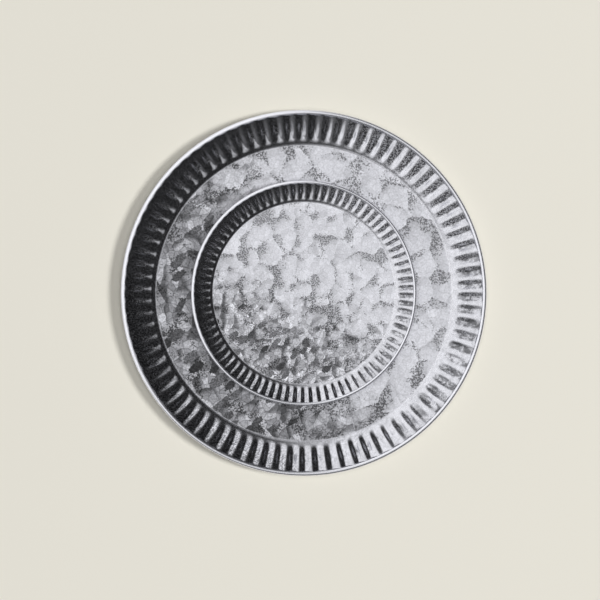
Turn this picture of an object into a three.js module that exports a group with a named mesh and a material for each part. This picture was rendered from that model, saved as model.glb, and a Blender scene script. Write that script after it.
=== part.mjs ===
// A nested pair of round galvanised serving trays: a small fluted tray resting in a large one.
// Each tray is a pan pressed from one steel sheet, with a flat floor, a flared wall of radial
// flutes, and an edge that is rolled outwards over a ring of wire.
// Millimetres, +Z up. The origin is the centre of the large tray's underside.
import * as THREE from "three";

// Sizes that the two trays share
const SHEET = 0.5; // thickness of the sheet steel
const FLUTES = 82; // flutes round each wall
const CREST_SHARE = 0.25; // share of a flute's pitch that its inner crest takes
const GROOVE_SHARE = 0.25; // share of a flute's pitch that its outer groove takes
const HEAD_DEPTH_SHARE = 0.55; // share of its depth that a flute keeps near its head
const ROLL_WRAP = 270; // degrees that the edge wraps round its wire
const WIRE_BUTT_GAP = 0.6; // gap between the two ends of a ring of wire
const TURN = 0.62; // degrees that each tray lies turned about its axis
const NEST_GAP = 0.3; // air under the small tray where it rests on the large one

// Large tray
const LARGE_RIM_DIAMETER = 330; // over the rolled rim
const LARGE_FLOOR_DIAMETER = 269; // flat part of the floor
const LARGE_HEIGHT = 16; // underside to the top of the rolled rim
const LARGE_FLOOR_FILLET = 1.8; // inside radius between floor and wall
const LARGE_FLUTE_DEPTH = 2.5; // crest to groove, square to the wall
const LARGE_FLUTE_FOOT = 8.4; // length in which a flute deepens from the floor fillet
const LARGE_FLUTE_HEAD = 2.8; // length in which a flute dies out below the rim
const LARGE_RIM_BAND = 0.2; // plain wall between the flutes and the rolled rim
const LARGE_WIRE_DIAMETER = 2.8;
const LARGE_WIRE_CLEARANCE = 0.1; // between the wire and the roll round it

// Small tray
const SMALL_RIM_DIAMETER = 204;
const SMALL_FLOOR_DIAMETER = 165.5;
const SMALL_HEIGHT = 9.9;
const SMALL_FLOOR_FILLET = 1.1;
const SMALL_FLUTE_DEPTH = 1.55;
const SMALL_FLUTE_FOOT = 5.2;
const SMALL_FLUTE_HEAD = 1.75;
const SMALL_RIM_BAND = 0.12;
const SMALL_WIRE_DIAMETER = 1.7;
const SMALL_WIRE_CLEARANCE = 0.08;

// Fineness of the facets
const FILLET_STEPS = 2;
const ROLL_STEPS = 6;
const WIRE_SIDES = 6;

const FULL_TURN = 2 * Math.PI;
const PITCH = FULL_TURN / FLUTES;
const ROLL_STEP = THREE.MathUtils.degToRad(ROLL_WRAP) / ROLL_STEPS;

const largeTray = {
  rimDiameter: LARGE_RIM_DIAMETER,
  floorDiameter: LARGE_FLOOR_DIAMETER,
  height: LARGE_HEIGHT,
  floorFillet: LARGE_FLOOR_FILLET,
  fluteDepth: LARGE_FLUTE_DEPTH,
  fluteFoot: LARGE_FLUTE_FOOT,
  fluteHead: LARGE_FLUTE_HEAD,
  rimBand: LARGE_RIM_BAND,
  wireDiameter: LARGE_WIRE_DIAMETER,
  wireClearance: LARGE_WIRE_CLEARANCE,
};

const smallTray = {
  rimDiameter: SMALL_RIM_DIAMETER,
  floorDiameter: SMALL_FLOOR_DIAMETER,
  height: SMALL_HEIGHT,
  floorFillet: SMALL_FLOOR_FILLET,
  fluteDepth: SMALL_FLUTE_DEPTH,
  fluteFoot: SMALL_FLUTE_FOOT,
  fluteHead: SMALL_FLUTE_HEAD,
  rimBand: SMALL_RIM_BAND,
  wireDiameter: SMALL_WIRE_DIAMETER,
  wireClearance: SMALL_WIRE_CLEARANCE,
};

// The lines of a tray's section that its pan and its wire share. Points are (radius, height).
// The wall's inner face is the straight line that touches both the floor fillet and the rolled rim.
// The roll's bore is a polygon, so its flats, and not its corners, keep the clearance to the wire.
function sectionOf(tray) {
  const rollBore = (tray.wireDiameter / 2 + tray.wireClearance) / Math.cos(ROLL_STEP / 2);
  const rollRadius = rollBore + SHEET;
  const rollCentre = new THREE.Vector2(tray.rimDiameter / 2 - rollRadius, tray.height - rollRadius);
  const filletCentre = new THREE.Vector2(tray.floorDiameter / 2, SHEET + tray.floorFillet);
  const span = rollCentre.clone().sub(filletCentre);
  const slope = span.angle() + Math.asin((tray.floorFillet + rollRadius) / span.length());
  const up = new THREE.Vector2(Math.cos(slope), Math.sin(slope));
  const inward = new THREE.Vector2(-up.y, up.x);
  const foot = filletCentre.clone().addScaledVector(inward, -tray.floorFillet);
  const head = rollCentre.clone().addScaledVector(inward, rollRadius);
  const fluteTop = foot.distanceTo(head) - tray.rimBand;
  return { rollBore, rollRadius, rollCentre, filletCentre, slope, up, inward, foot, fluteTop };
}

function pointOnCircle(centre, radius, angle) {
  return new THREE.Vector2(centre.x + radius * Math.cos(angle), centre.y + radius * Math.sin(angle));
}

// A plain ring of points about the axis, one at the crest of each flute.
function plainRing(point) {
  const ring = [];
  for (let flute = 0; flute < FLUTES; flute++) ring.push({ point, angle: flute * PITCH });
  return ring;
}

// A fluted ring of points about the axis: two on each crest, and two in each groove that is sunk outwards.
function flutedRing(point, sunk) {
  const corners = [
    { at: -CREST_SHARE / 2, point },
    { at: CREST_SHARE / 2, point },
    { at: 0.5 - GROOVE_SHARE / 2, point: sunk },
    { at: 0.5 + GROOVE_SHARE / 2, point: sunk },
  ];
  const ring = [];
  for (let flute = 0; flute < FLUTES; flute++)
    for (const corner of corners) ring.push({ point: corner.point, angle: (flute + corner.at) * PITCH });
  return ring;
}

// One face of the floor and wall, from the floor's centre to the top of the wall, as a list of rings.
// It lies the given depth below the inner face: 0 for the inner face, SHEET for the underside.
function faceRings(tray, section, depth) {
  const { filletCentre, slope, up, inward, foot, fluteTop } = section;
  const rings = [[{ point: new THREE.Vector2(0, SHEET - depth), angle: 0 }]];
  for (let step = 0; step <= FILLET_STEPS; step++) {
    const angle = -Math.PI / 2 + (slope * step) / FILLET_STEPS;
    rings.push(plainRing(pointOnCircle(filletCentre, tray.floorFillet + depth, angle)));
  }
  const onWall = (along, sink) =>
    foot.clone().addScaledVector(up, along).addScaledVector(inward, -depth - sink);
  const flutedAt = (along, sink) => flutedRing(onWall(along, 0), onWall(along, sink));
  rings.push(flutedAt(tray.fluteFoot, tray.fluteDepth));
  rings.push(flutedAt(fluteTop - tray.fluteHead, tray.fluteDepth * HEAD_DEPTH_SHARE));
  rings.push(plainRing(onWall(fluteTop, 0)));
  return rings;
}

// One face of the rolled edge, from the top of the wall round to the edge of the sheet.
function rollRings(section, radius) {
  const start = section.slope + Math.PI / 2;
  const rings = [];
  for (let step = 0; step <= ROLL_STEPS; step++)
    rings.push(plainRing(pointOnCircle(section.rollCentre, radius, start - ROLL_STEP * step)));
  return rings;
}

// The band of triangles between two neighbouring rings. The rings may hold different counts of
// points, and a ring of one point is a pole on the axis.
function stitch(ringA, startA, ringB, startB) {
  const triangles = [];
  const angleOf = (ring, i) => ring[i % ring.length].angle + FULL_TURN * Math.floor(i / ring.length);
  const middleOf = (ring, i) =>
    ring.length === 1 ? Infinity : (angleOf(ring, i) + angleOf(ring, i + 1)) / 2;
  const stepsA = ringA.length === 1 ? 0 : ringA.length;
  const stepsB = ringB.length === 1 ? 0 : ringB.length;
  let a = 0;
  let b = 0;
  while (a < stepsA || b < stepsB) {
    const stepOnB = a === stepsA || (b < stepsB && middleOf(ringB, b) < middleOf(ringA, a));
    const cornerA = startA + (a % ringA.length);
    const cornerB = startB + (b % ringB.length);
    if (stepOnB) b++;
    else a++;
    const next = stepOnB ? startB + (b % ringB.length) : startA + (a % ringA.length);
    triangles.push(cornerA, cornerB, next);
  }
  return triangles;
}

// A closed solid about the axis, skinned over rings that run from pole to pole.
function skin(rings) {
  const positions = [];
  const starts = [];
  for (const ring of rings) {
    starts.push(positions.length / 3);
    for (const { point, angle } of ring)
      positions.push(point.x * Math.cos(angle), point.x * Math.sin(angle), point.y);
  }
  const triangles = [];
  for (let i = 0; i + 1 < rings.length; i++)
    triangles.push(...stitch(rings[i], starts[i], rings[i + 1], starts[i + 1]));
  const geometry = new THREE.BufferGeometry();
  geometry.setAttribute("position", new THREE.Float32BufferAttribute(positions, 3));
  geometry.setIndex(triangles);
  geometry.computeVertexNormals();
  return geometry;
}

// The pan: the inner face out to the rim, over and round the roll, and back along the underside.
function panGeometry(tray) {
  const section = sectionOf(tray);
  return skin([
    ...faceRings(tray, section, 0),
    ...rollRings(section, section.rollRadius),
    ...rollRings(section, section.rollBore).reverse(),
    ...faceRings(tray, section, SHEET).reverse(),
  ]);
}

// The centre line of a ring of wire whose two ends butt together.
class ButtedRing extends THREE.Curve {
  constructor(radius, height) {
    super();
    this.radius = radius;
    this.height = height;
  }

  getPoint(share, target = new THREE.Vector3()) {
    const gap = WIRE_BUTT_GAP / this.radius;
    const angle = gap / 2 + share * (FULL_TURN - gap);
    return target.set(this.radius * Math.cos(angle), this.radius * Math.sin(angle), this.height);
  }
}

function wireGeometry(tray) {
  const { rollCentre } = sectionOf(tray);
  const round = new THREE.Shape().absarc(0, 0, tray.wireDiameter / 2, 0, FULL_TURN);
  return new THREE.ExtrudeGeometry(round, {
    extrudePath: new ButtedRing(rollCentre.x, rollCentre.y),
    steps: FLUTES,
    curveSegments: WIRE_SIDES / 2,
  });
}

const galvanisedSheet = new THREE.MeshStandardMaterial({ color: 0xb6b7bb, roughness: 0.45, metalness: 0.9 });
const steelWire = new THREE.MeshStandardMaterial({ color: 0x8d8f93, roughness: 0.4, metalness: 1 });

// One tray: its pan, and the wire inside its rolled rim.
function makeTray(name, tray) {
  const pan = new THREE.Mesh(panGeometry(tray), galvanisedSheet);
  pan.name = name + "_pan";
  const wire = new THREE.Mesh(wireGeometry(tray), steelWire);
  wire.name = name + "_rim_wire";
  const group = new THREE.Group();
  group.add(pan, wire);
  group.rotation.z = THREE.MathUtils.degToRad(TURN);
  return group;
}

const large = makeTray("large_tray", largeTray);
const small = makeTray("small_tray", smallTray);
small.position.z = SHEET + NEST_GAP;

const nestedTrays = new THREE.Group();
nestedTrays.add(large, small);

export default nestedTrays;
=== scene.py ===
"""A nested pair of galvanised serving trays, dressed for a render on a plain pale floor.

Each tray's pan is drawn as one section, spun about the tray's axis, pressed into flutes and given the
thickness of its sheet. Sizes are in metres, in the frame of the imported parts: +Z up, the origin at the
centre of the large tray's underside.
"""
import math
from functools import cached_property

import bmesh
import bpy
from bpy.props import FloatProperty, FloatVectorProperty, IntProperty, PointerProperty
from mathutils import Matrix, Vector, noise


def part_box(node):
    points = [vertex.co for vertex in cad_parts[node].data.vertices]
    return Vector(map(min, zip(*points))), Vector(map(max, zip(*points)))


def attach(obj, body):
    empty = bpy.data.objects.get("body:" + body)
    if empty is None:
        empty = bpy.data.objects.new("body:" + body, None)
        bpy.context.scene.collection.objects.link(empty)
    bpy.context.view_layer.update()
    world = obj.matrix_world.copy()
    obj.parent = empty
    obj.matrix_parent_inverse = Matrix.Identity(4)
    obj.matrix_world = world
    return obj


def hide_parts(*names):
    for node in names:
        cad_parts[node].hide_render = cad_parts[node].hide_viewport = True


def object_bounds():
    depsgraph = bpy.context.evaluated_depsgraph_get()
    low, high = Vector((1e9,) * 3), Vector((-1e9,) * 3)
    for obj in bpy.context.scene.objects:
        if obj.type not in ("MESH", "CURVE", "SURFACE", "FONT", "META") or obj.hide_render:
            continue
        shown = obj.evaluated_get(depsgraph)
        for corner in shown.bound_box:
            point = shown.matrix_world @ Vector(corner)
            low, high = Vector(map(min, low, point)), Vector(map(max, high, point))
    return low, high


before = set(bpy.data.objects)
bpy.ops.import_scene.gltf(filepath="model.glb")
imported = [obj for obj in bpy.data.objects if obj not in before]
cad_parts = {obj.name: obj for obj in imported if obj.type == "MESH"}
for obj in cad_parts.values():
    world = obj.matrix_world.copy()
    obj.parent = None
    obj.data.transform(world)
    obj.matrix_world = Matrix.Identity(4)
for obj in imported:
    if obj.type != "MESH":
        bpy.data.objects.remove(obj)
cad_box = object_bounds()

bl_info = {
    "name": "Galvanised Serving Trays",
    "version": (1, 0, 0),
    "blender": (4, 5, 0),
    "location": "3D View > Sidebar > Trays",
    "description": "Models a nested pair of fluted, galvanised serving trays",
    "category": "Object",
}

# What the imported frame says
LARGE_LOW, LARGE_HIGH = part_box("large_tray_pan")
SMALL_LOW, SMALL_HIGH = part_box("small_tray_pan")
LARGE_TRAY_BODY = "large_tray"
SMALL_TRAY_BODY = "small_tray"

# Fineness of the meshes
COLUMNS_PER_FLUTE = 10
FLOOR_RINGS = 2
FILLET_ROWS = 7
WALL_ROWS = 25
HEAD_ROWS = 8
ROLL_ROWS = 14
MERGE_DISTANCE = 1e-5

# Form of the flutes
FLUTE_SHARPNESS = 1.25  # above 1, a groove is narrower than a crest
GROOVE_KNEE = 0.9  # share of a groove's depth within which its foot bends into its taper
SPACING_UNEVENNESS = 2.0  # radians of a flute's wave for each unit of unevenness
SPACING_SEED = 3.5
DEPTH_SEED = 7.5
ON_WALL = 0.0001  # a point this close to the wall's line is on the wall
FLOOR_BLEND = 0.2  # length in which the floor's finish turns into the wall's, in radii of the fillet
RIM_START = 0.45  # how far below the wall's end the rim's finish begins, in radii of the roll
RIM_BLEND = 0.6  # length in which the wall's finish turns into the rim's, in radii of the roll

# Noise in the finishes: waves in a width, levels of detail, and roughness
GRAIN = (0.9, 2.0, 0.7)
MOTTLE = (6.0, 3.0, 0.6)
CLOUDS = (1.3, 2.0, 0.5)
BLOTS = (2.2, 6.0, 0.8)
WANDER = (1.0, 2.0, 0.5)
WIRE_STREAKS = (900.0, 3.0, 0.5)
STAGE_FLOOR_MOTTLE = (3.0, 2.0, 0.5)
NOISE_MIDDLE = 0.5
METRE = 1.0

# Patterns of crystals: the width as a share of a large crystal's, and a seed
LARGE_CRYSTALS = (1.0, 0.17)
SMALL_CRYSTALS = (0.58, 0.41)
CHIPS = (0.28, 0.91)
LEAVES = (0.44, 0.73)

# Wandering borders: each width as a share of a large crystal's, and the reach as a share of that width
LARGE_WANDERS = ((0.9, 0.36), (0.3, 0.34), (0.1, 0.3))
FINE_WANDERS = ((0.5, 0.2), (0.1, 0.25))

# A ramp is two limits of a value, then its results there: 0 and 1, or the call's own, where left out
WHOLE = (0.0, 1.0)
DULLEST = 0.95  # how far towards its dull side the zinc is fully dull, in radii of the floor

# Ramps of the crystals, by dullness unless a comment says otherwise
SHADED_SIDES = (0.0, 1.0, math.radians(80), math.radians(200))  # directions of each crystal's painted shade, by random value
CRYSTAL_DARKEST = (0.2, 1.0, 0.92, 0.56)
LARGE_SHADE = (0.1, 0.7, 0.78, 0.66)
LARGE_SHADING = (-0.15, 0.60)  # painted shade across a crystal
SMALL_SHADE = (0.25, 0.8, 0.80, 0.30)
SMALL_SHADING = (0.08, 0.42)  # painted shade across a crystal
SMALL_AMOUNT = (0.3, 0.8, 0.12, 0.85)
MOTTLE_TONES = (0.3, 0.7, 0.93, 1.03)  # by mottle
GRAIN_DARKEST = (0.2, 0.9, 0.86, 0.58)
GRAIN_PALEST = 1.09
GRAIN_LIMITS = (0.3, 0.7)  # by grain
CHIP_DARKEST = (0.25, 0.9, 0.93, 0.62)
CHIP_PALEST = (0.25, 0.9, 1.06, 1.30)
CRACK_TONES = (0.3, 0.9, 0.90, 0.58)
CRACK_WIDTH = (0.0, 0.12)  # by distance from a chip's edge

# Stipple
STIPPLE_DRIFT = 1.8  # how much the clouds move it about on the crystals' shaded sides
STIPPLE_SHADING = (-0.02, 0.62)  # across a crystal: the dots gather there as painted shade
STIPPLE_REACH = (0.36, 0.68, -0.08, 0.14)  # reach from a crystal's edge, by cloud
STIPPLE_DULL_REACH = 0.06  # what full dullness adds to that reach
STIPPLE_BORDER = (-0.16, 0.17)  # by the reach that is left
STIPPLE_LEVEL = (0.0, 1.0, 0.27, 0.51)  # grain below this level is a dot, by density
STIPPLE_TONES = (0.0, 1.0, 1.0, 0.94)  # between the dots, by density
DOT_TONES = (0.0, 0.4, 0.38, 0.27)  # by dullness
SHARP_EDGE = (-0.02, 0.02)  # of dots and leaves

# Leaves
LEAF_TURN = math.radians(-40)
LEAF_SQUEEZE = (0.5, 1.0, 1.0)  # makes a leaf twice as long as it is wide
LEAF_RAGGEDNESS = 0.3
LEAF_REACHES = (0.26, 0.46)  # of the smallest and the largest, in widths
LEAF_TONES = (0.04, 0.20)  # of the darkest and the palest
LEAF_AMOUNT = (0.40, 0.85, 0.0, 0.42)  # by dullness
LEAF_FAINTNESS = (0.50, 0.88, 0.45, 0.0)  # by dullness
LEAF_GRAIN = (0.40, 0.62, 0.6, 1.6)  # by grain

# Wear and painted shade of the walls, and a painted highlight on the rims. A side's ramp goes by the
# distance towards it, in radii of the floor
WALL_EVENNESS = 0.75
WALL_EVEN_TONE = 0.98
WALL_GRAIN = (0.35, 0.6, 0.90, 1.0)  # by grain
WALL_MOTTLE = (0.42, 0.66, 1.0, 0.86)  # by mottle
GROOVE_DARK_DEPTH = (0.62, 0.80)  # by depth in a groove
GROOVE_DARK_MOTTLE = (0.40, 0.62, 0.0, 0.60)  # by mottle
BLOTTED_SIDE = (0.86, 1.10)
BLOTTED_DEPTH = (0.02, 0.3)  # by depth in a groove
BLOT_TONES = (0.42, 0.56, 1.0, 0.26)  # by blots
# Painted shade on one side, growing up the wall to the rim, speckled by grain
SHADOWED_SIDE = (0.62, 1.0)
SHADOW_UP_WALL = (0.35, 1.0)  # at the wall's foot and at the rim
SHADOW_TONES = (0.42, 0.60, 0.30, 1.0)  # by grain: speckled painted shade
# Towards one side the rim is paler and matt, a painted highlight, and the grooves low on the wall are
# scuffed
HIGHLIGHT_AND_SCUFF_SIDE = (0.2, 1.1)
SCUFFED_DEPTH = (0.30, 0.75)  # by depth in a groove
SCUFFED_GRAIN = (0.40, 0.62, 0.10, 1.0)  # by grain
SCUFF_END = 1.18  # radius where the scuffs end, in radii of the floor
RUBBED_SIDE = (0.2, 0.95, 0.06, 1.0)
RUBBED_GRAIN = (0.44, 0.60, 0.08, 1.0)  # by grain
RIM_HIGHLIGHT_TONES = (1.06, 1.15)  # where it is plain metal, and where it is paler as a painted highlight

# Shine of the zinc
FLOOR_METAL = 0.35
RUBBED_METAL = 0.45
SCUFFED_METAL = 0.62
RIM_METAL = (0.88, 0.10)  # where it is plain metal, and where it is matt under its painted highlight
FLOOR_ROUGHNESS = 0.42
WALL_ROUGHNESS = (0.1, 0.9, 0.30, 0.18)  # by tone
GRAIN_BUMP = 0.2
GRAIN_HEIGHT = 0.0002

# Wire, and the floor under the trays
WIRE_TONES = (0.3, 0.7, 0.75, 1.0)  # by streak
WIRE_ROUGHNESS = (0.3, 0.7, 0.30, 0.45)  # by streak
STAGE_FLOOR_TONES = (0.3, 0.7, 0.995, 1.0)  # by mottle
STAGE_FLOOR_ROUGHNESS = 0.9
STAGE_FLOOR_HALF_SIDE = 6.0
STAGE_FLOOR_CELLS = 8
STAGE_FLOOR_DROP = 0.0002  # air under the large tray

# Lamps. Alone, a lamp lights a white floor to its level
LAMP_DISTANCE = 14.0
KEY_ELEVATION = math.radians(50)
KEY_WIDTH = 3.4
KEY_LEVEL = 0.52
TOP_ELEVATION = math.radians(89)
TOP_WIDTH = 9.8
TOP_LEVEL = 0.55

# The mirrored room, by bearing from the middle of its window, or by height, which is 1 overhead
WINDOW_EDGE = (math.radians(-76), math.radians(-46))
WINDOW_NEAR_FADE = (math.radians(72), math.radians(40))
WINDOW_FAR_FADE = (math.radians(120), math.radians(60))
NEAR_FADE_SHARE = 0.89  # the far fade has the rest
HIGH_WINDOW_EDGE = (math.radians(-115), math.radians(-15))
HIGH_WINDOW_FADE = (math.radians(150), math.radians(30))
HIGH_WINDOW = (0.61, 0.75)  # by height
CEILING = (0.84, 0.985, 0.0, 0.48)  # by height
ROOM_LEVELS = (0.016, 1.12)  # away from the window and in it
WHITE = (1, 1, 1, 1)

# The picture that the camera is set for
IMAGE_SIDE_PX = 600
RIM_RADIUS_PX = 183.1
RIM_CENTRE_PX = Vector((303.8, 293.0))
SENSOR_WIDTH_MM = 36.0

# Sockets of a Mix node: its factor and its two inputs, and its result
MIX_FLOATS = (0, 2, 3)
MIX_COLOURS = (0, 6, 7)
MIXED_FLOAT = 0
MIXED_COLOUR = 2


def length(name, description, default):
    """A property that holds a length in metres."""
    return FloatProperty(name=name, description=description, default=default, min=0.0, precision=5,
                         unit="LENGTH", subtype="DISTANCE")


def share(name, description, default):
    """A property that holds a share from 0 to 1."""
    return FloatProperty(name=name, description=description, default=default, min=0.0, max=1.0,
                         subtype="FACTOR")


def signed_share(name, description, default):
    """A property that holds a share from -1 to 1."""
    return FloatProperty(name=name, description=description, default=default, min=-1.0, max=1.0,
                         subtype="FACTOR")


def angle(name, description, degrees):
    """A property that holds an angle."""
    return FloatProperty(name=name, description=description, default=math.radians(degrees), subtype="ANGLE")


def colour(name, description, default):
    """A property that holds a linear colour."""
    return FloatVectorProperty(name=name, description=description, default=default, size=3,
                               min=0.0, max=1.0, subtype="COLOR")


class LargeTraySizes(bpy.types.PropertyGroup):
    """Sizes and zinc of the large tray"""
    rim_diameter: length("Rim", "Diameter over the rolled rim", LARGE_HIGH.y - LARGE_LOW.y)
    floor_diameter: length("Floor", "Diameter of the flat floor", 0.2673)
    underside: length("Underside", "Height of the underside above the origin", LARGE_LOW.z)
    height: length("Height", "Underside to the top of the rim", LARGE_HIGH.z - LARGE_LOW.z)
    floor_fillet: length("Floor fillet", "Inside radius between floor and wall", 0.0050)
    roll_radius: length("Roll", "Outside radius of the rolled rim", 0.002124)
    rim_stand: length("Rim stand", "How far the rolled rim stands in from the wall", 0.0003)
    flute_depth: length("Flute depth", "Crest to groove, square to the wall", 0.0034)
    floor_band: length("Floor band", "Plain wall between the floor fillet and the flutes", 0.0021)
    flute_foot: length("Flute foot", "Length in which a groove gains its depth", 0.0085)
    spangle: length("Spangle", "Width of a large zinc crystal", 0.024)
    grain: length("Grain", "Width of a dot of the zinc's stipple", 0.0013)
    dull_side: angle("Dull side", "Direction in which the zinc is dullest", 208)
    dull_from: signed_share("Dull from", "Where the zinc begins to dull, from the floor's middle", -0.9)
    dullness: share("Dullness", "How much the zinc darkens towards its dull side", 0.27)
    paleness: share("Paleness", "Tone of the palest zinc on the floor", 0.92)


class SmallTraySizes(bpy.types.PropertyGroup):
    """Sizes and zinc of the small tray"""
    rim_diameter: length("Rim", "Diameter over the rolled rim", SMALL_HIGH.y - SMALL_LOW.y)
    floor_diameter: length("Floor", "Diameter of the flat floor", 0.16445)
    underside: length("Underside", "Height of the underside above the origin", SMALL_LOW.z)
    height: length("Height", "Underside to the top of the rim", SMALL_HIGH.z - SMALL_LOW.z)
    floor_fillet: length("Floor fillet", "Inside radius between floor and wall", 0.0031)
    roll_radius: length("Roll", "Outside radius of the rolled rim", 0.001507)
    rim_stand: length("Rim stand", "How far the rolled rim stands in from the wall", 0.0002)
    flute_depth: length("Flute depth", "Crest to groove, square to the wall", 0.0021)
    floor_band: length("Floor band", "Plain wall between the floor fillet and the flutes", 0.0013)
    flute_foot: length("Flute foot", "Length in which a groove gains its depth", 0.0052)
    spangle: length("Spangle", "Width of a large zinc crystal", 0.016)
    grain: length("Grain", "Width of a dot of the zinc's stipple", 0.00110)
    dull_side: angle("Dull side", "Direction in which the zinc is dullest", 246)
    dull_from: signed_share("Dull from", "Where the zinc begins to dull, from the floor's middle", -0.6)
    dullness: share("Dullness", "How much the zinc darkens towards its dull side", 0.03)
    paleness: share("Paleness", "Tone of the palest zinc on the floor", 0.95)


class SheetSettings(bpy.types.PropertyGroup):
    """What the two trays share: the sheet, its flutes, its zinc and the wire"""
    thickness: length("Sheet", "Thickness of the sheet steel", 0.0005)
    flutes: IntProperty(name="Flutes", description="Flutes round each wall", default=82, min=3)
    head_depth: share("Head depth", "Share of its depth that a groove keeps at the rim", 0.37)
    unevenness: share("Unevenness", "How much the flutes differ in depth and spacing", 0.25)
    turn: angle("Turn", "Angle that each tray lies turned about its axis", 0.62)
    roll_wrap: angle("Roll wrap", "Angle that the edge wraps round its wire", 235)
    worn_side: angle("Worn side", "Direction in which the walls are rubbed dull", 8)
    # Darker blots in the grooves towards this side
    blotted_side: angle("Stained side", "Direction in which the grooves are stained", 340)
    # Speckled painted shade dims the wall below the rim towards this side
    shadowed_side: angle("Dusty side", "Direction in which dust dims the wall below the rim", 220)
    # Towards this side the rim is paler and matt, a painted highlight, and the grooves low on the wall are
    # scuffed
    highlight_and_scuff_side: angle("Scuffed side", "Direction in which rims and grooves are scuffed matt", 148)
    zinc: colour("Zinc", "Colour of the pale zinc crystals", (0.83, 0.835, 0.89))
    wire: colour("Wire", "Colour of the rim wires", (0.55, 0.56, 0.58))


class StageSettings(bpy.types.PropertyGroup):
    """Floor, light and camera"""
    floor_colour: colour("Floor", "Colour of the plain floor", (0.77, 0.745, 0.665))
    window_side: angle("Window side", "Direction of the bright side of the room, about the vertical", 153)
    key_side: angle("Key side", "Direction of the key lamp, about the vertical", 357)
    camera_height: length("Camera", "Height of the camera above the origin", 1.4)


# The shape of a tray's pan

class Section:
    """The lines of a pan's upper face in the XZ plane: floor, fillet, plain wall and roll."""

    def __init__(self, sizes, thickness):
        top = sizes.underside + sizes.height
        self.floor_height = sizes.underside + thickness
        self.floor_edge = Vector((sizes.floor_diameter / 2, 0, self.floor_height))
        self.roll_centre = Vector((sizes.rim_diameter / 2 - sizes.roll_radius, 0, top - sizes.roll_radius))
        self.fillet_centre = self.floor_edge + Vector((0, 0, sizes.floor_fillet))
        span = self.roll_centre - self.fillet_centre
        rise = math.atan2(span.z, span.x)
        self.slope = rise + math.asin((sizes.floor_fillet + sizes.roll_radius) / span.length)
        self.up = Vector((math.cos(self.slope), 0, math.sin(self.slope)))
        self.inward = Vector((-self.up.z, 0, self.up.x))
        self.foot = self.fillet_centre - self.inward * sizes.floor_fillet
        self.head = self.roll_centre + self.inward * sizes.roll_radius
        self.wall_length = (self.head - self.foot).length
        self.below_rim = self.head - self.up * sizes.roll_radius


def draw_section(bm, section, roll_wrap):
    """Draws a pan's upper face as a line: from the axis over the floor, up the wall and round the rim."""
    def straight(vert, place, steps):
        start = vert.co.copy()
        for step in range(1, steps + 1):
            vert = bmesh.ops.extrude_vert_indiv(bm, verts=[vert])["verts"][0]
            vert.co = start.lerp(place, step / steps)
        return vert

    def arc(vert, centre, turn, steps):
        made = bmesh.ops.spin(bm, geom=[vert], cent=centre, axis=(0, 1, 0), angle=turn, steps=steps)
        return next(item for item in made["geom_last"] if isinstance(item, bmesh.types.BMVert))

    end = bm.verts.new((0, 0, section.floor_height))
    end = straight(end, section.floor_edge, FLOOR_RINGS)
    end = arc(end, section.fillet_centre, -section.slope, FILLET_ROWS)
    end = straight(end, section.below_rim, WALL_ROWS)
    end = straight(end, section.head, HEAD_ROWS)
    arc(end, section.roll_centre, roll_wrap, ROLL_ROWS)


def smooth_step(value):
    value = min(max(value, 0.0), 1.0)
    return value * value * (3 - 2 * value)


def smooth_least(first, second, blend):
    """The lesser of two values, rounded off where they are closer than the blend."""
    near = max(blend - abs(first - second), 0.0) / blend
    return min(first, second) - near * near * blend / 4


def flute_wave(phase):
    """How deep a flute lies, from 0 on its inner crest to 1 in its outer groove."""
    return ((1 - math.cos(phase)) / 2) ** FLUTE_SHARPNESS


def groove_depth(along, sizes, section, head_depth):
    """Share of a groove's full depth at a height up the wall: a scooped foot, then a slow taper."""
    foot_end = sizes.floor_band + sizes.flute_foot
    rising = (along - sizes.floor_band) / sizes.flute_foot
    falling = 1 - (1 - head_depth) * (along - foot_end) / (section.wall_length - foot_end)
    return max(smooth_least(rising, falling, GROOVE_KNEE), 0.0)


def press_flutes(bm, sizes, section, sheet):
    """Sinks grooves outwards into the wall, no two quite alike, and notes what each point of the pan is."""
    floor_blend = FLOOR_BLEND * sizes.floor_fillet
    rim_start = section.wall_length - RIM_START * sizes.roll_radius
    rim_blend = RIM_BLEND * sizes.roll_radius
    flutes_per_radian = sheet.flutes / (2 * math.pi)
    for name in ("groove", "flat_floor", "rolled_rim"):
        bm.verts.layers.float.new(name)
    groove, flat_floor, rolled_rim = bm.verts.layers.float.values()

    def uneven(direction, seed):
        return sheet.unevenness * noise.noise(direction * flutes_per_radian + Vector((0, 0, seed)))

    for vert in bm.verts:
        radius = math.hypot(vert.co.x, vert.co.y)
        vert[flat_floor] = smooth_step((section.floor_edge.x + floor_blend - radius) / floor_blend)
        offset = Vector((radius, 0, vert.co.z)) - section.foot
        along = offset.dot(section.up)
        vert[rolled_rim] = smooth_step((along - rim_start) / rim_blend)
        if abs(offset.dot(section.inward)) > ON_WALL or not 0 < along < section.wall_length:
            continue
        direction = Vector((vert.co.x, vert.co.y, 0)) / radius
        turned = math.atan2(direction.y, direction.x)
        phase = turned * sheet.flutes + SPACING_UNEVENNESS * uneven(direction, SPACING_SEED)
        wave = flute_wave(phase)
        own_depth = 1 + uneven(direction, DEPTH_SEED)
        share_here = groove_depth(along, sizes, section, sheet.head_depth) * own_depth
        sunk = sizes.flute_depth * share_here * wave + sizes.rim_stand * along / section.wall_length
        moved = section.foot + section.up * along - section.inward * sunk
        from_roll = moved - section.roll_centre
        if from_roll.length < sizes.roll_radius:
            moved = section.roll_centre + from_roll.normalized() * sizes.roll_radius
        vert.co = direction * moved.x + Vector((0, 0, moved.z))
        vert[groove] = wave * share_here


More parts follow.
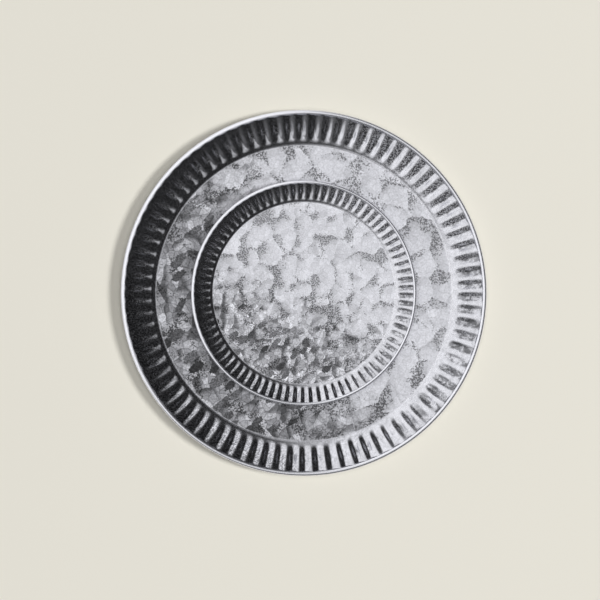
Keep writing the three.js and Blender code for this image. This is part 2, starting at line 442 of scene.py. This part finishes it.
def make_pan(name, sizes, sheet):
    """One pan: a section spun over one flute, repeated round the axis, pressed and made a sheet."""
    section = Section(sizes, sheet.thickness)
    pitch = 2 * math.pi / sheet.flutes
    about_axis = {"cent": (0, 0, 0), "axis": (0, 0, 1)}
    bm = bmesh.new()
    draw_section(bm, section, sheet.roll_wrap)
    bmesh.ops.spin(bm, geom=bm.verts[:] + bm.edges[:], angle=pitch, steps=COLUMNS_PER_FLUTE, **about_axis)
    bmesh.ops.spin(bm, geom=bm.verts[:] + bm.edges[:] + bm.faces[:], angle=2 * math.pi - pitch,
                   steps=sheet.flutes - 1, use_duplicate=True, **about_axis)
    bmesh.ops.remove_doubles(bm, verts=bm.verts[:], dist=MERGE_DISTANCE)
    bmesh.ops.recalc_face_normals(bm, faces=bm.faces[:])
    middle = min(bm.faces, key=lambda face: face.calc_center_median().length)
    if middle.normal.z < 0:
        bmesh.ops.reverse_faces(bm, faces=bm.faces[:])
    press_flutes(bm, sizes, section, sheet)
    bmesh.ops.rotate(bm, verts=bm.verts[:], cent=(0, 0, 0), matrix=Matrix.Rotation(sheet.turn, 3, "Z"))
    mesh = bpy.data.meshes.new(name)
    bm.to_mesh(mesh)
    bm.free()
    mesh.shade_smooth()
    pan = bpy.data.objects.new(name, mesh)
    bpy.context.scene.collection.objects.link(pan)
    wall = pan.modifiers.new("Sheet thickness", "SOLIDIFY")
    wall.thickness = sheet.thickness
    wall.offset = -1
    wall.use_even_offset = True
    wall.use_quality_normals = True
    return pan


# Finishes

class Nodes:
    """Short calls that add nodes to a tree. Inputs are values, or outputs of other nodes."""

    def __init__(self, tree):
        self.nodes = tree.nodes
        self.links = tree.links

    def join(self, value, socket):
        if isinstance(value, bpy.types.NodeSocket):
            self.links.new(value, socket)
        else:
            socket.default_value = value

    def add(self, kind, inputs, **settings):
        node = self.nodes.new("ShaderNode" + kind)
        for key, value in settings.items():
            setattr(node, key, value)
        for key, value in inputs.items():
            self.join(value, node.inputs[key])
        return node

    def math(self, operation, first, second=0.0):
        return self.add("Math", {0: first, 1: second}, operation=operation).outputs[0]

    def product(self, *factors):
        total = factors[0]
        for factor in factors[1:]:
            total = self.math("MULTIPLY", total, factor)
        return total

    def vector_math(self, operation, first, second):
        return self.add("VectorMath", {0: first, 1: second}, operation=operation).outputs[0]

    def dot(self, first, second):
        return self.add("VectorMath", {0: first, 1: second}, operation="DOT_PRODUCT").outputs["Value"]

    def stretch(self, vector, factor):
        return self.add("VectorMath", {0: vector, "Scale": factor}, operation="SCALE").outputs[0]

    def noise(self, vector, width, waves, detail, roughness):
        """Noise with a number of waves in a given width."""
        inputs = {"Vector": vector, "Scale": waves / width, "Detail": detail, "Roughness": roughness}
        return self.add("TexNoise", inputs).outputs

    def split(self, colour_output):
        return self.add("SeparateColor", {0: colour_output}).outputs

    def ramp(self, value, low, high, to_low=0.0, to_high=1.0):
        """Eases a value from one result to another between two limits, which may also run downwards."""
        inputs = {0: value, 1: low, 2: high, 3: to_low, 4: to_high}
        return self.add("MapRange", inputs, interpolation_type="SMOOTHSTEP").outputs[0]

    def mix(self, factor, first, second):
        inputs = dict(zip(MIX_FLOATS, (factor, first, second)))
        return self.add("Mix", inputs, data_type="FLOAT").outputs[MIXED_FLOAT]

    def tint(self, tone, tint):
        inputs = dict(zip(MIX_COLOURS, (1.0, tone, (*tint, 1.0))))
        return self.add("Mix", inputs, data_type="RGBA", blend_type="MULTIPLY").outputs[MIXED_COLOUR]

    def attribute(self, name):
        return self.add("Attribute", {}, attribute_name=name).outputs["Fac"]


class Finish(Nodes):
    """A material on one shader."""

    def __init__(self, name):
        self.material = bpy.data.materials.new(name)
        self.material.use_nodes = True
        super().__init__(self.material.node_tree)
        self.shader = self.nodes["Principled BSDF"]

    def set(self, socket, value):
        self.join(value, self.shader.inputs[socket])


class Crystals:
    """A pattern of zinc crystals of a given width, each with three random values."""

    def __init__(self, zinc, place, width_share, seed):
        self.zinc = zinc
        self.width = width_share * zinc.sizes.spangle
        self.place = zinc.vector_math("ADD", place, (seed, seed, 0))
        self.inputs = {"Vector": self.place, "Scale": 1 / self.width}
        self.cell = zinc.add("TexVoronoi", self.inputs, voronoi_dimensions="2D")
        self.random = zinc.split(self.cell.outputs["Color"])
        self.from_middle = self.cell.outputs["Distance"]

    @cached_property
    def from_edge(self):
        """Distance from the nearest edge of a crystal, in widths."""
        edges = {"voronoi_dimensions": "2D", "feature": "DISTANCE_TO_EDGE"}
        return self.zinc.add("TexVoronoi", self.inputs, **edges).outputs["Distance"]

    @cached_property
    def to_shaded_side(self):
        """Distance from a crystal's middle towards its shaded side, in widths."""
        zinc = self.zinc
        local = zinc.vector_math("SUBTRACT", self.place, self.cell.outputs["Position"])
        turn = zinc.ramp(self.random[0], *SHADED_SIDES)
        aim = zinc.add("CombineXYZ", {0: zinc.math("COSINE", turn), 1: zinc.math("SINE", turn)}).outputs[0]
        return zinc.dot(local, zinc.stretch(aim, 1 / self.width))

    def tones(self, shading, shade):
        """Each crystal has a tone of its own, and darkens towards one side with painted shade."""
        zinc = self.zinc
        own_tone = zinc.mix(self.random[2], zinc.ramp(zinc.dull, *CRYSTAL_DARKEST), 1.0)
        shaded = zinc.ramp(zinc.dull, *shade)
        return zinc.product(own_tone, zinc.ramp(self.to_shaded_side, *shading, 1.0, shaded))


class Zinc(Finish):
    """Hot-dipped zinc on one tray, with the patterns that its crystals and its wear share."""

    def __init__(self, name, sizes, sheet):
        super().__init__(name)
        self.sizes = sizes
        self.sheet = sheet
        self.place = self.add("TexCoord", {}).outputs["Object"]
        self.radius = self.add("VectorMath", {0: self.place}, operation="LENGTH").outputs["Value"]
        self.flat_floor = self.attribute("flat_floor")
        self.groove = self.attribute("groove")
        self.rolled_rim = self.attribute("rolled_rim")
        self.grain = self.noise(self.place, sizes.grain, *GRAIN)["Fac"]
        self.mottle = self.noise(self.place, sizes.spangle, *MOTTLE)["Fac"]
        self.cloud = self.noise(self.place, sizes.spangle, *CLOUDS)["Fac"]
        self.drift = self.math("SUBTRACT", self.cloud, NOISE_MIDDLE)
        towards_dull = self.math("ADD", self.towards(sizes.dull_side), self.drift)
        self.dull = self.ramp(towards_dull, sizes.dull_from, DULLEST)

    def towards(self, azimuth):
        """How far a place lies towards one side, from 0 at the axis to 1 at the floor's edge."""
        side = Vector((math.cos(azimuth), math.sin(azimuth), 0))
        return self.dot(self.place, side * 2 / self.sizes.floor_diameter)

    def wander(self, steps):
        """Places moved about by noise, in steps that each have a width and a reach."""
        place = self.place
        for width_share, reach in steps:
            width = width_share * self.sizes.spangle
            random = self.noise(place, width, *WANDER)["Color"]
            centred = self.vector_math("SUBTRACT", random, [NOISE_MIDDLE] * 3)
            place = self.vector_math("ADD", place, self.stretch(centred, 2 * reach * width))
        return place


def chip(zinc, tone, place):
    """Breaks up the dull side into chips with cracks between them."""
    chips = Crystals(zinc, place, *CHIPS)
    darkest = zinc.ramp(zinc.dull, *CHIP_DARKEST)
    palest = zinc.ramp(zinc.dull, *CHIP_PALEST)
    own_tone = zinc.mix(chips.random[2], darkest, palest)
    crack = zinc.ramp(chips.from_edge, *CRACK_WIDTH, zinc.ramp(zinc.dull, *CRACK_TONES), 1.0)
    return zinc.product(tone, own_tone, crack)


def stipple(zinc, tone, crystals):
    """Sets dark dots on the crystals' shaded sides, as painted shade, and along their edges, where the
    clouds let them.
    """
    drifted = zinc.math("ADD", crystals.to_shaded_side, zinc.product(zinc.drift, STIPPLE_DRIFT))
    crescent = zinc.ramp(drifted, *STIPPLE_SHADING)
    cloud_reach = zinc.ramp(zinc.cloud, *STIPPLE_REACH)
    reach = zinc.math("ADD", cloud_reach, zinc.product(zinc.dull, STIPPLE_DULL_REACH))
    border = zinc.ramp(zinc.math("SUBTRACT", reach, crystals.from_edge), *STIPPLE_BORDER)
    density = zinc.math("MAXIMUM", crescent, border)
    level = zinc.ramp(density, *STIPPLE_LEVEL)
    dots = zinc.ramp(zinc.math("SUBTRACT", level, zinc.grain), *SHARP_EDGE)
    dot_tone = zinc.ramp(zinc.dull, *DOT_TONES)
    return zinc.product(tone, zinc.ramp(density, *STIPPLE_TONES), zinc.ramp(dots, *WHOLE, 1.0, dot_tone))


def lay_leaves(zinc, tone, place):
    """Lays long, ragged, dark leaves over the dull side."""
    turned = zinc.add("Mapping", {"Vector": place, "Rotation": (0, 0, LEAF_TURN)}).outputs[0]
    leaves = Crystals(zinc, zinc.vector_math("MULTIPLY", turned, LEAF_SQUEEZE), *LEAVES)
    centred_grain = zinc.math("SUBTRACT", zinc.grain, NOISE_MIDDLE)
    ragged = zinc.math("ADD", leaves.from_middle, zinc.product(centred_grain, LEAF_RAGGEDNESS))
    reach = zinc.mix(leaves.random[0], *LEAF_REACHES)
    within = zinc.ramp(zinc.math("SUBTRACT", reach, ragged), *SHARP_EDGE)
    here = zinc.math("LESS_THAN", leaves.random[1], zinc.ramp(zinc.dull, *LEAF_AMOUNT))
    faintness = zinc.ramp(zinc.dull, *LEAF_FAINTNESS)
    own_tone = zinc.math("ADD", zinc.mix(leaves.random[2], *LEAF_TONES), faintness)
    leaf_tone = zinc.product(own_tone, zinc.ramp(zinc.grain, *LEAF_GRAIN))
    return zinc.mix(zinc.product(here, within), tone, leaf_tone)


def floor_tone(zinc):
    """Pale crystals parted by dark stipple and, on the dull side, small crystals, chips and dark leaves."""
    finer = zinc.wander(FINE_WANDERS)
    large = Crystals(zinc, zinc.wander(LARGE_WANDERS), *LARGE_CRYSTALS)
    small = Crystals(zinc, finer, *SMALL_CRYSTALS)
    on_small = zinc.math("LESS_THAN", small.random[1], zinc.ramp(zinc.dull, *SMALL_AMOUNT))
    large_tone = large.tones(LARGE_SHADING, LARGE_SHADE)
    small_tone = small.tones(SMALL_SHADING, SMALL_SHADE)
    tone = zinc.mix(on_small, large_tone, small_tone)
    grain_tone = zinc.ramp(zinc.grain, *GRAIN_LIMITS, zinc.ramp(zinc.dull, *GRAIN_DARKEST), GRAIN_PALEST)
    tone = zinc.product(tone, zinc.ramp(zinc.mottle, *MOTTLE_TONES), grain_tone)
    tone = chip(zinc, tone, finer)
    tone = stipple(zinc, tone, large)
    tone = lay_leaves(zinc, tone, finer)
    # The floor darkens towards its dull side, partly as the zinc's own tone and partly as painted shade
    return zinc.product(tone, zinc.ramp(zinc.dull, *WHOLE, zinc.sizes.paleness, 1 - zinc.sizes.dullness))


def wall_tone(zinc, tone, scuffed):
    """The wall is more even than the floor, darker deep in its grooves and blotted in them on one side,
    with speckled painted shade below the rim on another.
    """
    sizes = zinc.sizes
    even = zinc.product(zinc.mix(WALL_EVENNESS, tone, WALL_EVEN_TONE), zinc.ramp(zinc.grain, *WALL_GRAIN),
                        zinc.ramp(zinc.mottle, *WALL_MOTTLE))
    # Darker deep in the grooves, mottled
    groove_darkening = zinc.product(zinc.ramp(zinc.groove, *GROOVE_DARK_DEPTH), zinc.ramp(zinc.mottle, *GROOVE_DARK_MOTTLE))
    # Darker blots in the grooves towards one side
    blotted = zinc.product(zinc.ramp(zinc.towards(zinc.sheet.blotted_side), *BLOTTED_SIDE),
                           zinc.ramp(zinc.groove, *BLOTTED_DEPTH))
    blots = zinc.noise(zinc.place, sizes.spangle, *BLOTS)["Fac"]
    blotting = zinc.mix(blotted, 1.0, zinc.ramp(blots, *BLOT_TONES))
    up_wall = zinc.ramp(zinc.radius, sizes.floor_diameter / 2, sizes.rim_diameter / 2, *SHADOW_UP_WALL)
    # Painted shade on one side, strongest below the rim, speckled
    shadowed = zinc.product(zinc.ramp(zinc.towards(zinc.sheet.shadowed_side), *SHADOWED_SIDE), up_wall)
    shadow = zinc.mix(shadowed, 1.0, zinc.ramp(zinc.grain, *SHADOW_TONES))
    wall_wear_and_shade = zinc.product(even, zinc.math("SUBTRACT", 1.0, groove_darkening), blotting, shadow)
    # The rim is paler towards one side: a painted highlight
    return zinc.mix(zinc.rolled_rim, wall_wear_and_shade, zinc.mix(scuffed, *RIM_HIGHLIGHT_TONES))


def wall_metal(zinc, scuffed):
    """The wall and rim mirror the room, but less where they are rubbed, where the grooves are scuffed, and
    where the rim is matt under its painted highlight.
    """
    floor_radius = zinc.sizes.floor_diameter / 2
    rubbed = zinc.product(zinc.ramp(zinc.towards(zinc.sheet.worn_side), *RUBBED_SIDE),
                          zinc.ramp(zinc.grain, *RUBBED_GRAIN))
    low_on_wall = zinc.ramp(zinc.radius, SCUFF_END * floor_radius, floor_radius)
    scuffs = zinc.product(scuffed, zinc.ramp(zinc.groove, *SCUFFED_DEPTH),
                          zinc.ramp(zinc.grain, *SCUFFED_GRAIN), low_on_wall)
    bare_wall = zinc.product(zinc.mix(rubbed, 1.0, RUBBED_METAL), zinc.mix(scuffs, 1.0, SCUFFED_METAL))
    # The rim is nearly matt towards one side, under its painted highlight
    return zinc.mix(zinc.rolled_rim, bare_wall, zinc.mix(scuffed, *RIM_METAL))


def galvanised_sheet(name, sizes, sheet):
    """The finish of one pan: crystals on its floor, wear and painted shade on its wall, and a painted
    highlight on its rim towards one side.
    """
    zinc = Zinc(name, sizes, sheet)
    # How far towards the side of the rim's painted highlight and the grooves' scuffs
    scuffed = zinc.ramp(zinc.towards(sheet.highlight_and_scuff_side), *HIGHLIGHT_AND_SCUFF_SIDE)
    crystal_tone = floor_tone(zinc)
    tone = zinc.mix(zinc.flat_floor, wall_tone(zinc, crystal_tone, scuffed), crystal_tone)
    zinc.set("Base Color", zinc.tint(tone, sheet.zinc))
    zinc.set("Metallic", zinc.mix(zinc.flat_floor, wall_metal(zinc, scuffed), FLOOR_METAL))
    zinc.set("Roughness", zinc.mix(zinc.flat_floor, zinc.ramp(tone, *WALL_ROUGHNESS), FLOOR_ROUGHNESS))
    bump = zinc.add("Bump", {"Height": zinc.grain, "Strength": GRAIN_BUMP, "Distance": GRAIN_HEIGHT})
    zinc.set("Normal", bump.outputs[0])
    return zinc.material


def drawn_wire(wire_colour):
    """Drawn steel wire, hidden in the rolled rim."""
    finish = Finish("drawn_wire")
    place = finish.add("TexCoord", {}).outputs["Object"]
    streak = finish.noise(place, METRE, *WIRE_STREAKS)["Fac"]
    finish.set("Base Color", finish.tint(finish.ramp(streak, *WIRE_TONES), wire_colour))
    finish.set("Metallic", 1.0)
    finish.set("Roughness", finish.ramp(streak, *WIRE_ROUGHNESS))
    return finish.material


def plain_floor(floor_colour):
    """Matt pale floor, clear from below so that the trays' underside can be seen."""
    finish = Finish("plain_floor")
    place = finish.add("TexCoord", {}).outputs["Object"]
    mottle = finish.noise(place, METRE, *STAGE_FLOOR_MOTTLE)["Fac"]
    finish.set("Base Color", finish.tint(finish.ramp(mottle, *STAGE_FLOOR_TONES), floor_colour))
    finish.set("Roughness", STAGE_FLOOR_ROUGHNESS)
    finish.set("Specular IOR Level", 0.0)
    clear = finish.add("BsdfTransparent", {})
    side = finish.add("NewGeometry", {}).outputs["Backfacing"]
    mixed = finish.add("MixShader", {0: side, 1: finish.shader.outputs[0], 2: clear.outputs[0]})
    finish.join(mixed.outputs[0], finish.nodes["Material Output"].inputs["Surface"])
    return finish.material


# The operators

class TRAYS_OT_large_pan(bpy.types.Operator):
    """Model the large tray's pan"""
    bl_idname = "trays.large_pan"
    bl_label = "Large Pan"

    def execute(self, context):
        scene = context.scene
        pan = make_pan("large_pan", scene.tray_large, scene.tray_sheet)
        pan.data.materials.append(galvanised_sheet("large_zinc", scene.tray_large, scene.tray_sheet))
        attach(pan, LARGE_TRAY_BODY)
        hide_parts("large_tray_pan")
        return {"FINISHED"}


class TRAYS_OT_small_pan(bpy.types.Operator):
    """Model the small tray's pan"""
    bl_idname = "trays.small_pan"
    bl_label = "Small Pan"

    def execute(self, context):
        scene = context.scene
        pan = make_pan("small_pan", scene.tray_small, scene.tray_sheet)
        pan.data.materials.append(galvanised_sheet("small_zinc", scene.tray_small, scene.tray_sheet))
        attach(pan, SMALL_TRAY_BODY)
        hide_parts("small_tray_pan")
        return {"FINISHED"}


class TRAYS_OT_rim_wires(bpy.types.Operator):
    """Finish the wires that the rims are rolled over"""
    bl_idname = "trays.rim_wires"
    bl_label = "Rim Wires"

    def execute(self, context):
        wire = drawn_wire(context.scene.tray_sheet.wire)
        for node in ("large_tray_rim_wire", "small_tray_rim_wire"):
            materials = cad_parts[node].data.materials
            materials.clear()
            materials.append(wire)
        return {"FINISHED"}


def make_lamp(name, azimuth, elevation, width, level):
    """A round softbox that is aimed at the trays and doesn't show in them."""
    lamp = bpy.data.lights.new(name, "AREA")
    lamp.shape = "DISK"
    lamp.size = width
    lamp.energy = level * (math.pi * LAMP_DISTANCE) ** 2 / math.sin(elevation)
    towards = Vector((math.cos(azimuth) * math.cos(elevation), math.sin(azimuth) * math.cos(elevation),
                      math.sin(elevation)))
    box = bpy.data.objects.new(name, lamp)
    box.location = towards * LAMP_DISTANCE
    box.rotation_euler = towards.to_track_quat("Z", "Y").to_euler()
    box.visible_camera = False
    box.visible_glossy = False
    bpy.context.scene.collection.objects.link(box)


class TRAYS_OT_stage(bpy.types.Operator):
    """Set the floor, the light and the camera"""
    bl_idname = "trays.stage"
    bl_label = "Stage"

    def execute(self, context):
        scene = context.scene
        stage = scene.tray_stage
        scene.view_settings.view_transform = "Standard"
        self.make_floor(scene, stage)
        self.make_room(scene, stage)
        make_lamp("key_lamp", stage.key_side, KEY_ELEVATION, KEY_WIDTH, KEY_LEVEL)
        make_lamp("top_lamp", stage.key_side, TOP_ELEVATION, TOP_WIDTH, TOP_LEVEL)
        self.make_camera(scene, stage)
        return {"FINISHED"}

    def make_floor(self, scene, stage):
        """A wide flat floor, just under the large tray."""
        bm = bmesh.new()
        cells = {"x_segments": STAGE_FLOOR_CELLS, "y_segments": STAGE_FLOOR_CELLS}
        bmesh.ops.create_grid(bm, size=STAGE_FLOOR_HALF_SIDE, **cells)
        bmesh.ops.translate(bm, verts=bm.verts[:], vec=(0, 0, cad_box[0].z - STAGE_FLOOR_DROP))
        mesh = bpy.data.meshes.new("floor")
        bm.to_mesh(mesh)
        bm.free()
        floor = bpy.data.objects.new("floor", mesh)
        mesh.materials.append(plain_floor(stage.floor_colour))
        scene.collection.objects.link(floor)

    def make_room(self, scene, stage):
        """The room that the metal mirrors: a window with a sharp edge and a fading one, and a ceiling."""
        world = bpy.data.worlds.new("soft_room")
        scene.world = world
        world.use_nodes = True
        world.cycles_visibility.diffuse = False
        room = Nodes(world.node_tree)
        direction = room.add("TexCoord", {}).outputs["Generated"]
        ahead = room.dot(direction, (math.cos(stage.window_side), math.sin(stage.window_side), 0))
        beside = room.dot(direction, (-math.sin(stage.window_side), math.cos(stage.window_side), 0))
        bearing = room.math("ARCTAN2", beside, ahead)
        height = room.dot(direction, (0, 0, 1))
        near_fade = room.ramp(bearing, *WINDOW_NEAR_FADE)
        far_fade = room.ramp(bearing, *WINDOW_FAR_FADE)
        fade = room.mix(NEAR_FADE_SHARE, far_fade, near_fade)
        low_window = room.product(room.ramp(bearing, *WINDOW_EDGE), fade)
        high_fade = room.ramp(bearing, *HIGH_WINDOW_FADE)
        high_window = room.product(room.ramp(bearing, *HIGH_WINDOW_EDGE), high_fade)
        window = room.mix(room.ramp(height, *HIGH_WINDOW), low_window, high_window)
        lit = room.math("MAXIMUM", window, room.ramp(height, *CEILING))
        background = room.nodes["Background"]
        room.join(WHITE, background.inputs["Color"])
        room.join(room.mix(lit, *ROOM_LEVELS), background.inputs["Strength"])

    def make_camera(self, scene, stage):
        """Looks straight down, with the large rim where the picture has it."""
        rim_height = cad_box[1].z - scene.tray_large.roll_radius
        reach = stage.camera_height - rim_height
        focal_px = RIM_RADIUS_PX * reach / (scene.tray_large.rim_diameter / 2)
        metres_per_px = reach / focal_px
        off_centre = RIM_CENTRE_PX - Vector((IMAGE_SIDE_PX / 2, IMAGE_SIDE_PX / 2))
        lens = bpy.data.cameras.new("camera")
        lens.sensor_width = SENSOR_WIDTH_MM
        lens.lens = SENSOR_WIDTH_MM * focal_px / IMAGE_SIDE_PX
        camera = bpy.data.objects.new("camera", lens)
        camera.location = (-off_centre.x * metres_per_px, off_centre.y * metres_per_px, stage.camera_height)
        scene.collection.objects.link(camera)
        scene.camera = camera


class TRAYS_PT_sidebar(bpy.types.Panel):
    """The trays' pieces and their sizes"""
    bl_label = "Serving Trays"
    bl_idname = "TRAYS_PT_sidebar"
    bl_space_type = "VIEW_3D"
    bl_region_type = "UI"
    bl_category = "Trays"

    def draw(self, context):
        for operator in OPERATORS:
            self.layout.operator(operator.bl_idname)
        for group in SETTINGS:
            box = self.layout.box()
            settings = getattr(context.scene, group)
            for name in settings.__annotations__:
                box.prop(settings, name)


SETTINGS = {
    "tray_large": LargeTraySizes,
    "tray_small": SmallTraySizes,
    "tray_sheet": SheetSettings,
    "tray_stage": StageSettings,
}
OPERATORS = (TRAYS_OT_large_pan, TRAYS_OT_small_pan, TRAYS_OT_rim_wires, TRAYS_OT_stage)


def register():
    for group, settings in SETTINGS.items():
        bpy.utils.register_class(settings)
        setattr(bpy.types.Scene, group, PointerProperty(type=settings))
    for operator in OPERATORS:
        bpy.utils.register_class(operator)
    bpy.utils.register_class(TRAYS_PT_sidebar)


def unregister():
    bpy.utils.unregister_class(TRAYS_PT_sidebar)
    for operator in reversed(OPERATORS):
        bpy.utils.unregister_class(operator)
    for group, settings in reversed(SETTINGS.items()):
        delattr(bpy.types.Scene, group)
        bpy.utils.unregister_class(settings)


def main():
    register()
    bpy.ops.trays.large_pan()
    bpy.ops.trays.small_pan()
    bpy.ops.trays.rim_wires()
    bpy.ops.trays.stage()


if __name__ == "__main__":
    main()
